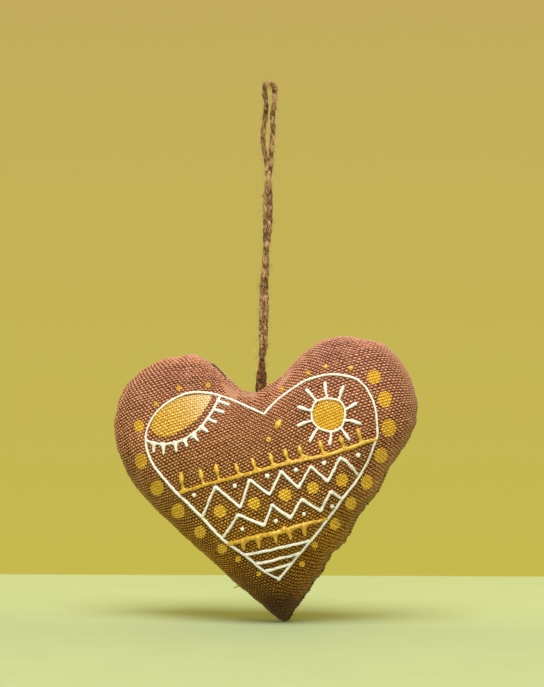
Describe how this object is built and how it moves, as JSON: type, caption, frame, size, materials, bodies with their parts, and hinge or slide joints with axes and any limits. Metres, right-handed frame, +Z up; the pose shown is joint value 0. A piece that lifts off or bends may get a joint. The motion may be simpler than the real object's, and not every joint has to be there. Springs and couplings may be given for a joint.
{
  "type": "fabric heart ornament",
  "caption": "Stuffed brown cloth heart with a painted folk pattern, hung by a loop of twisted jute twine.",
  "frame": {"origin": "where a hook, peg or twig carries the loop, at the inner side of the loop's top", "axes": "+X to the right of a viewer of the painted front, +Y away from that viewer, through the heart's thickness, +Z up"},
  "size_m": [0.1064, 0.042, 0.1899],
  "materials": {
    "cloth": "coarse plain weave, matte brown, with raised white and gold paint",
    "twine": "fuzzy two-ply jute, matte"
  },
  "bodies": {
    "root": {"stuffed_heart": "cloth", "hanging_loop": "twine"}
  },
  "joints": []
}
